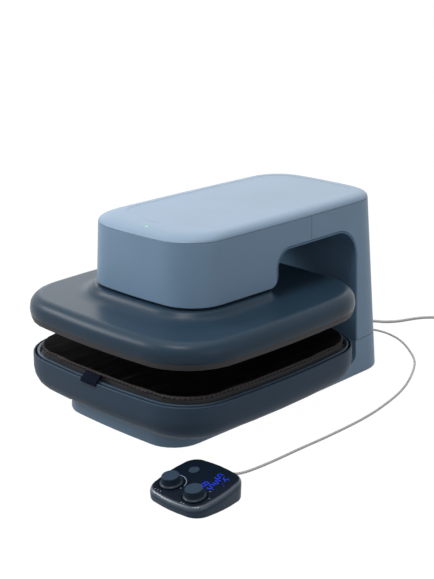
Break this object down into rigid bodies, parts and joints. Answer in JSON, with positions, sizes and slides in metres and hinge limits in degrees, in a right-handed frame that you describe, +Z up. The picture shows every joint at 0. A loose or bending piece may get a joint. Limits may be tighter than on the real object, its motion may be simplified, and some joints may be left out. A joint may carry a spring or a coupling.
{
  "type": "automatic heat press",
  "caption": "Craft heat press with a motor-driven heat platen under a C-shaped arm, a pull-out tray with a press mat, and a corded control pod with two knobs",
  "frame": {"origin": "on the table under the middle of the base, at the underside of its middle foot", "axes": "+Z up, -Y toward the user, +X to the user's right"},
  "size_m": [0.4813, 0.9538, 0.2922],
  "materials": {
    "frame_shell": "satin light slate blue moulding",
    "lid_shell": "satin pale slate blue moulding",
    "platen_shell": "satin navy slate moulding",
    "platen_skirt": "matte dark grey heat-resistant moulding",
    "tray_shell": "satin very dark navy moulding",
    "heat_alloy": "coated cast aluminium",
    "steel": "zinc plated steel",
    "alloy": "bare aluminium",
    "bronze": "sintered bronze",
    "gear_plastic": "unfilled gear plastic",
    "inner_plastic": "black inner moulding",
    "board": "green circuit board",
    "ceramic": "white ceramic",
    "wool": "insulating fibre mat",
    "mat": "black coated felt mat with punched edge",
    "tag": "navy woven tab",
    "rubber": "black rubber",
    "pod_shell": "satin dark navy moulding",
    "knob": "satin grey blue moulding",
    "screen": "dark gloss display window",
    "lamp": "lit green lens",
    "cord": "light grey soft jacket",
    "plug": "light grey moulded plug"
  },
  "bodies": {
    "frame": {"base_shell": "frame_shell", "base_plate": "steel", "base_chassis": "steel", "rubber_feet": "rubber", "fixed_rails": "steel", "column_shell": "frame_shell", "head_shell": "frame_shell", "arch_liner": "frame_shell", "top_lid": "lid_shell", "rear_cover": "frame_shell", "status_led": "lamp", "frame_plates": "steel", "frame_spacers": "steel", "press_plate": "steel", "guide_bushes": "bronze", "gear_case": "inner_plastic", "nut_bearings": "bronze", "press_motor": "inner_plastic", "control_board": "board", "power_supply": "inner_plastic", "case_screws": "steel", "pod_base": "pod_shell", "pod_top": "pod_shell", "pod_display": "screen", "pod_board": "board", "encoders": "steel", "button_switch": "inner_plastic", "pod_feet": "rubber", "pod_screws": "steel", "mains_gland": "cord", "pod_glands": "cord", "mains_cord": "cord", "mains_coil": "cord", "coil_tie": "rubber", "mains_plug": "plug", "pod_cord": "cord"},
    "platen": {"platen_cover": "platen_shell", "platen_lip": "platen_skirt", "heat_plate": "heat_alloy", "heating_element": "steel", "insulation": "wool", "platen_carrier": "alloy", "standoffs": "ceramic", "lead_screw": "steel", "guide_rods": "steel", "temp_sensor": "bronze", "platen_screws": "steel"},
    "tray": {"tray_shell": "tray_shell", "tray_ring": "tray_shell", "lower_platen": "inner_plastic", "press_mat": "mat", "mat_tab": "tag", "tray_runners": "steel", "tray_screws": "steel"},
    "drive_gear": {"drive_gear": "gear_plastic"},
    "motor_pinion": {"motor_pinion": "bronze"},
    "time_knob": {"time_knob": "knob"},
    "temp_knob": {"temp_knob": "knob"},
    "power_button": {"power_button": "knob"}
  },
  "joints": [
    {"name": "tray_slide", "type": "slide", "parent": "frame", "child": "tray", "axis": [0, -1, 0], "range_m": [0, 0.2]},
    {"name": "platen_press", "type": "slide", "parent": "frame", "child": "platen", "axis": [0, 0, -1], "range_m": [0, 0.0385]},
    {"name": "drive_gear_spin", "type": "hinge", "parent": "frame", "child": "drive_gear", "pos_m": [0, -0.08, 0.208], "axis": [0, 0, 1], "range_deg": [0, 1740]},
    {"name": "motor_pinion_spin", "type": "hinge", "parent": "frame", "child": "motor_pinion", "pos_m": [0, -0.12, 0.208], "axis": [0, 0, 1], "range_deg": [-5220, 0]},
    {"name": "time_knob_spin", "type": "hinge", "parent": "frame", "child": "time_knob", "pos_m": [0.2078, -0.3304, 0.01962], "axis": [0, -0.1478, 0.989], "continuous": true},
    {"name": "temp_knob_spin", "type": "hinge", "parent": "frame", "child": "temp_knob", "pos_m": [0.2538, -0.3346, 0.01899], "axis": [0, -0.1478, 0.989], "continuous": true},
    {"name": "power_button_press", "type": "slide", "parent": "frame", "child": "power_button", "axis": [0, 0.1478, -0.989], "range_m": [0, 0.001], "stiffness_N_per_m": 1500}
  ],
  "couplings": [
    {"joint": "drive_gear_spin", "follows": "platen_press", "rad_per_m": 785.4},
    {"joint": "motor_pinion_spin", "follows": "platen_press", "rad_per_m": -2356.2}
  ]
}
